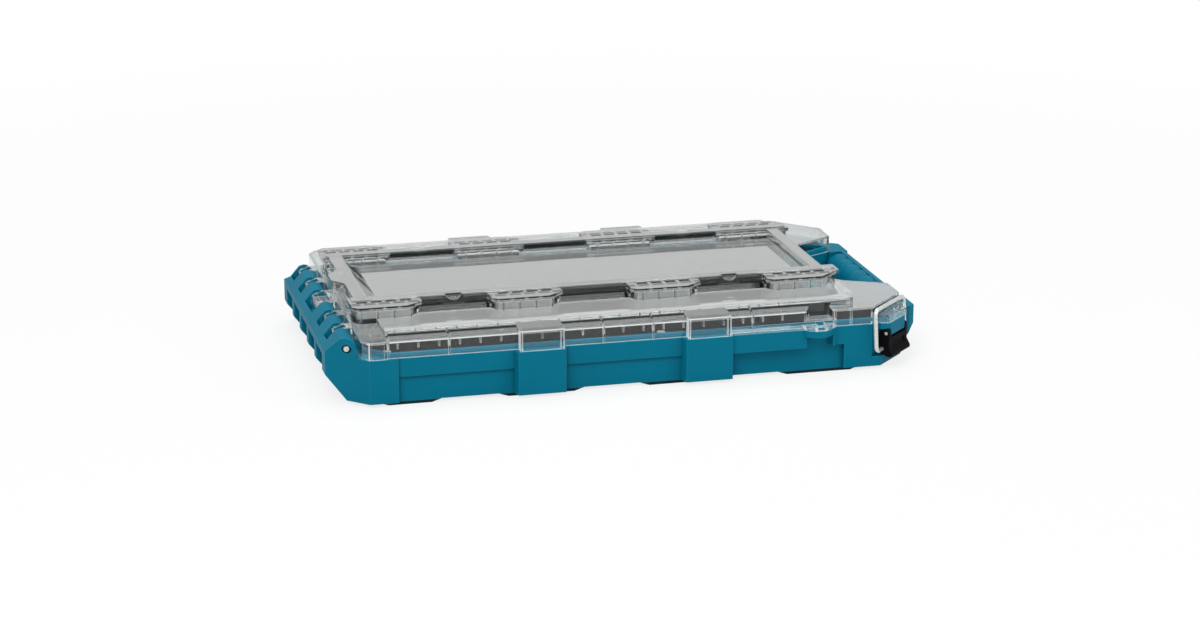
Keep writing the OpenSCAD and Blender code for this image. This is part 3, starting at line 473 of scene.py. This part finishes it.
def finishes():
    """Each finish with the CAD nodes that carry it."""
    return [
        (plastic("teal_plastic", TEAL, TEAL_HIGHLIGHT, rough=0.5, gloss=0.07),
         ["base_shell", "handle_grip"]),
        # feet in a darkened copy of the teal, as painted shade
        (plastic("feet_shaded_teal", FEET_SHADED_TEAL, TEAL_HIGHLIGHT, rough=0.6, gloss=0.1),
         ["stack_feet"]),
        (plastic("black_plastic", BLACK, BLACK_HIGHLIGHT, rough=0.55, gloss=0.03),
         ["latch_lever_near", "latch_lever_far"]),
        (plastic("tray_plastic", TRAY, BLACK_HIGHLIGHT, rough=0.75, gloss=0.05),
         ["blade_tray", "arbor_post_large", "arbor_post_small", "retaining_knob_large",
          "retaining_knob_small"]),
        (plastic("pad_rubber", TRAY, BLACK_HIGHLIGHT, rough=0.85, gloss=0.05,
                 waves=RUBBER_WAVES, depth=RUBBER_DEPTH),
         ["blade_pad_large", "blade_pad_small", "knob_washer_large", "knob_washer_small"]),
        (metal("zinc_steel", STEEL, rough=0.28),
         ["hinge_pin", "latch_pin_near", "latch_pin_far", "latch_bail_near",
          "latch_bail_far", "handle_screws", "tray_screws", "post_screws"]),
        (clear_plastic("lid_clear"),
         ["lid_shell"])]


def dress(name, finish):
    """Put a finish on every slot of a CAD node."""
    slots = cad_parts[name].data.materials
    for index in range(len(slots)):
        slots[index] = finish
    if not len(slots):
        slots.append(finish)


# ---------------------------------------------------------------- stage ----

def floor_paint():
    """White where seen, with paint below it that shows the case's soft shadow."""
    g = Graph(new_material("floor_pale"))
    paint = g.add("BsdfDiffuse", {"Color": FLOOR_PAINT}).outputs["BSDF"]
    glow = g.add("Emission", {"Strength": 1.0}).outputs["Emission"]
    place = g.add("TexCoord").outputs["Object"]
    far = g.add("VectorMath", {0: place}, operation="LENGTH").outputs["Value"]
    share = g.ramp(g.math("DIVIDE", far, GLOW_RAMP), GLOW_SHARE, 1.0,
                   GLOW_GROWS / GLOW_RAMP, GLOW_FULL / GLOW_RAMP)
    return g.finish(g.mix_shader(g.all_of(g.seen(), share), paint, glow))


def stage_floor():
    """Large square floor under the case."""
    mesh = bpy.data.meshes.new("floor")
    half = FLOOR_HALF
    corners = [(-half, -half, 0), (half, -half, 0), (half, half, 0), (-half, half, 0)]
    mesh.from_pydata(corners, [], [(0, 1, 2, 3)])
    mesh.materials.append(floor_paint())
    floor = bpy.data.objects.new("floor", mesh)
    bpy.context.scene.collection.objects.link(floor)


def stage_world():
    """White surroundings: full white where seen, dimmer as a light."""
    world = bpy.data.worlds.new("studio")
    bpy.context.scene.world = world
    g = Graph(world)
    dim = g.add("Background", {"Strength": WORLD_LIGHT}).outputs["Background"]
    white = g.add("Background", {"Strength": 1.0}).outputs["Background"]
    g.finish(g.mix_shader(g.seen(), dim, white), "OutputWorld")


def stage_lamp(name, place, side, power):
    """Square soft box at place, pointed at the case."""
    data = bpy.data.lights.new(name, "AREA")
    data.shape = "SQUARE"
    data.size = side
    data.energy = power
    lamp = bpy.data.objects.new(name, data)
    bpy.context.scene.collection.objects.link(lamp)
    lamp.location = place
    lamp.rotation_euler = (LAMP_AIM - place).to_track_quat("-Z", "Y").to_euler()


def stage_camera():
    """Camera at the photograph's viewing angle, without roll."""
    data = bpy.data.cameras.new("camera")
    data.sensor_width = CAM_SENSOR
    data.sensor_fit = "HORIZONTAL"
    data.lens = CAM_LENS
    data.clip_end = CAM_REACH
    cam = bpy.data.objects.new("camera", data)
    bpy.context.scene.collection.objects.link(cam)
    forward = Vector((-math.sin(CAM_AZIMUTH) * math.cos(CAM_ELEVATION),
                      math.cos(CAM_AZIMUTH) * math.cos(CAM_ELEVATION),
                      -math.sin(CAM_ELEVATION)))
    right = forward.cross(Vector((0, 0, 1))).normalized()
    up = right.cross(forward)
    turn = Matrix((right, up, -forward)).transposed()
    cam.matrix_world = Matrix.Translation(CAM_PLACE) @ turn.to_4x4()
    bpy.context.scene.camera = cam


for node_finish, node_names in finishes():
    for node_name in node_names:
        dress(node_name, node_finish)
stage_floor()
stage_world()
for lamp_row in LAMPS:
    stage_lamp(*lamp_row)
stage_camera()
bpy.context.scene.view_settings.view_transform = "Standard"
